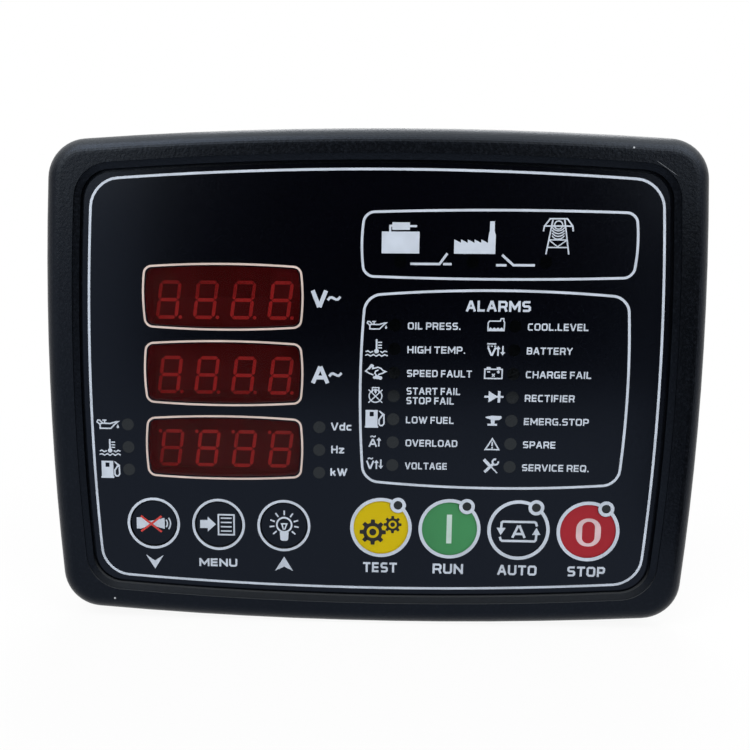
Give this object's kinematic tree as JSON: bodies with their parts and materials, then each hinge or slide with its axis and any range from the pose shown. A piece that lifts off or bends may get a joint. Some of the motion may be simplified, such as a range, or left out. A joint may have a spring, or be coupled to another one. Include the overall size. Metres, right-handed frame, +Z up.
{
  "type": "genset controller",
  "caption": "Panel-mounted generator controller with a bowed black bezel, recessed key and lamp face, red digit displays and plug-in rear terminals.",
  "frame": {"origin": "middle of the panel cut-out, in the plane of the panel's front face", "axes": "+Z up, +X to the right seen from the front, +Y back through the panel; the face looks along -Y"},
  "size_m": [0.2, 0.047, 0.153],
  "materials": {
    "bezel_black": "fine-grained satin moulding",
    "overlay_black": "fine-textured film",
    "filter_red": "clear red",
    "key_black": "fine-textured film",
    "key_yellow": "printed film",
    "key_green": "printed film",
    "key_red": "printed film",
    "switch_black": "moulded",
    "plunger_white": "moulded",
    "display_black": "moulded",
    "segment_red": "diffusing",
    "lamp_smoke": "diffusing",
    "board_green": "solder mask",
    "pillar_brass": "plain",
    "screw_steel": "zinc plated",
    "relay_blue": "moulded",
    "potted_grey": "potted",
    "can_blue": "sleeved",
    "winding_copper": "enamelled",
    "pin_tin": "tinned",
    "gasket_foam": "closed-cell foam",
    "clip_steel": "spring steel",
    "terminal_green": "moulded"
  },
  "bodies": {
    "housing": {"front_bezel": "bezel_black", "front_overlay": "overlay_black", "volts_filter": "filter_red", "amps_filter": "filter_red", "readout_filter": "filter_red", "key_switches": "switch_black", "volts_display": "display_black", "amps_display": "display_black", "readout_display": "display_black", "display_segments": "segment_red", "indicator_lamps": "lamp_smoke", "display_board": "board_green", "board_pillars": "pillar_brass", "board_screws": "screw_steel", "main_board": "board_green", "link_header": "switch_black", "link_socket": "switch_black", "processor_chip": "switch_black", "relays": "relay_blue", "current_transformers": "potted_grey", "capacitors": "can_blue", "power_inductor": "winding_copper", "mains_header": "terminal_green", "generator_header": "terminal_green", "contactor_header": "terminal_green", "current_header": "terminal_green", "control_header": "terminal_green", "supply_header": "terminal_green", "mains_plug": "terminal_green", "generator_plug": "terminal_green", "contactor_plug": "terminal_green", "current_plug": "terminal_green", "control_plug": "terminal_green", "supply_plug": "terminal_green", "terminal_pins": "pin_tin", "terminal_screws": "screw_steel", "rear_cover": "bezel_black", "cover_screws": "screw_steel", "panel_gasket": "gasket_foam", "left_clip": "clip_steel", "right_clip": "clip_steel"},
    "mute_button": {"mute_key": "key_black", "mute_plunger": "plunger_white"},
    "menu_button": {"menu_key": "key_black", "menu_plunger": "plunger_white"},
    "lamp_button": {"lamp_key": "key_black", "lamp_plunger": "plunger_white"},
    "test_button": {"test_key": "key_yellow", "test_plunger": "plunger_white"},
    "run_button": {"run_key": "key_green", "run_plunger": "plunger_white"},
    "auto_button": {"auto_key": "key_black", "auto_plunger": "plunger_white"},
    "stop_button": {"stop_key": "key_red", "stop_plunger": "plunger_white"}
  },
  "joints": [
    {"name": "mute_press", "type": "slide", "parent": "housing", "child": "mute_button", "axis": [0, 1, 0], "range_m": [0, 0.0005], "stiffness_N_per_m": 1000},
    {"name": "menu_press", "type": "slide", "parent": "housing", "child": "menu_button", "axis": [0, 1, 0], "range_m": [0, 0.0005], "stiffness_N_per_m": 1000},
    {"name": "lamp_press", "type": "slide", "parent": "housing", "child": "lamp_button", "axis": [0, 1, 0], "range_m": [0, 0.0005], "stiffness_N_per_m": 1000},
    {"name": "test_press", "type": "slide", "parent": "housing", "child": "test_button", "axis": [0, 1, 0], "range_m": [0, 0.0005], "stiffness_N_per_m": 1000},
    {"name": "run_press", "type": "slide", "parent": "housing", "child": "run_button", "axis": [0, 1, 0], "range_m": [0, 0.0005], "stiffness_N_per_m": 1000},
    {"name": "auto_press", "type": "slide", "parent": "housing", "child": "auto_button", "axis": [0, 1, 0], "range_m": [0, 0.0005], "stiffness_N_per_m": 1000},
    {"name": "stop_press", "type": "slide", "parent": "housing", "child": "stop_button", "axis": [0, 1, 0], "range_m": [0, 0.0005], "stiffness_N_per_m": 1000}
  ]
}
